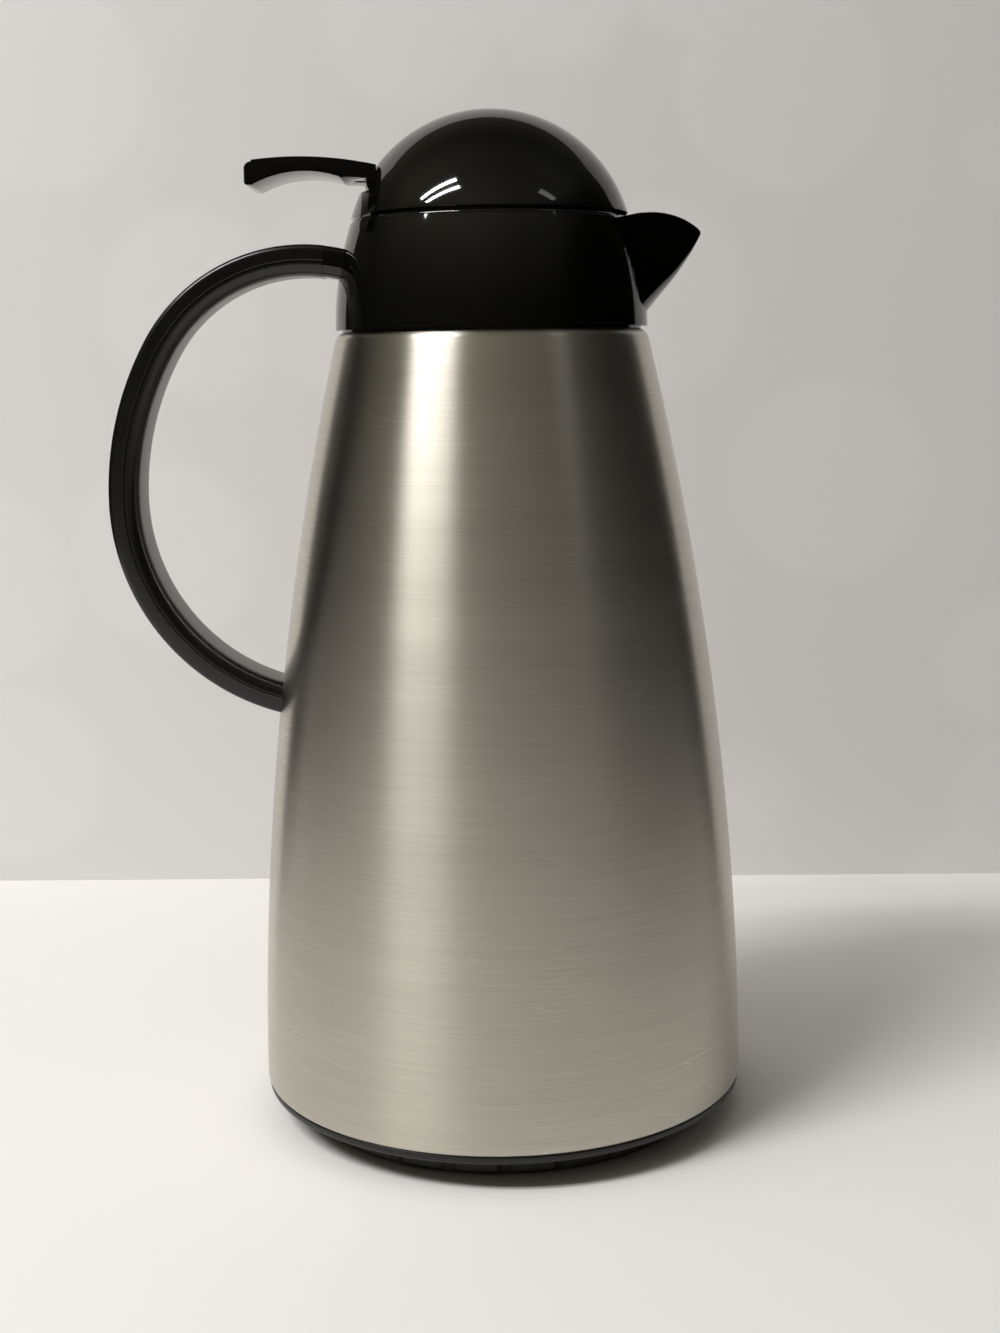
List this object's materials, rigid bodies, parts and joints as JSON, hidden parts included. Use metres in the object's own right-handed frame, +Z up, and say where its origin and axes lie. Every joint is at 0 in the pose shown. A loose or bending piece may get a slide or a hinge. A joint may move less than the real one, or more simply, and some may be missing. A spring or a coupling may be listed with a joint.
{
  "type": "thermal_carafe_flip_lid",
  "caption": "Insulated coffee carafe: brushed steel bell, black collar with V spout, hooped handle, and a domed flip lid opened by a thumb lever",
  "frame": {"origin": "centre of the foot's flat face, on the table", "axes": "+Z up along the body's axis, +X to the spout, -X to the handle, +Y across the body"},
  "size_m": [0.1804, 0.1418, 0.2887],
  "materials": {
    "shell_steel": "brushed",
    "gloss_black": "polished",
    "handle_black": "satin",
    "base_plastic": "matte",
    "inner_plastic": "matte",
    "foot_rubber": "matte",
    "seal_silicone": "matte",
    "spacer_felt": "matte",
    "flask_glass": "polished",
    "screw_steel": "polished"
  },
  "bodies": {
    "carafe": {"outer_shell": "shell_steel", "base_ring": "base_plastic", "base_cap": "base_plastic", "foot_pad": "foot_rubber", "liner_outer_wall": "flask_glass", "liner_inner_wall": "flask_glass", "liner_spacers": "spacer_felt", "liner_cushion": "foot_rubber", "neck_gasket": "foot_rubber", "clamp_ring": "inner_plastic", "collar": "gloss_black", "handle_outer": "handle_black", "handle_inner": "handle_black", "handle_screws": "screw_steel"},
    "stopper_carrier": {"stopper_gasket": "seal_silicone"},
    "stopper": {"stopper_body": "gloss_black", "hinge_pin": "screw_steel", "torsion_spring": "screw_steel"},
    "lid": {"lid_dome": "gloss_black", "lid_plate": "inner_plastic", "thumb_lever": "gloss_black", "lever_screws": "screw_steel", "seal_plug": "inner_plastic", "plug_seal": "seal_silicone"}
  },
  "joints": [
    {"name": "stopper_lift", "type": "slide", "parent": "carafe", "child": "stopper_carrier", "axis": [0, 0, 1], "range_m": [0, 0.006]},
    {"name": "stopper_turn", "type": "hinge", "parent": "stopper_carrier", "child": "stopper", "pos_m": [0, 0, 0.2435], "axis": [0, 0, 1], "range_deg": [0, 360]},
    {"name": "lid_flip", "type": "hinge", "parent": "stopper", "child": "lid", "pos_m": [-0.0295, 0, 0.269], "axis": [0, -1, 0], "range_deg": [0, 24], "stiffness_Nm_per_rad": 0.03, "springref_deg": -68.75, "deforming": ["torsion_spring"]}
  ],
  "couplings": [
    {"joint": "stopper_lift", "follows": "stopper_turn", "m_per_rad": 0.000954}
  ]
}
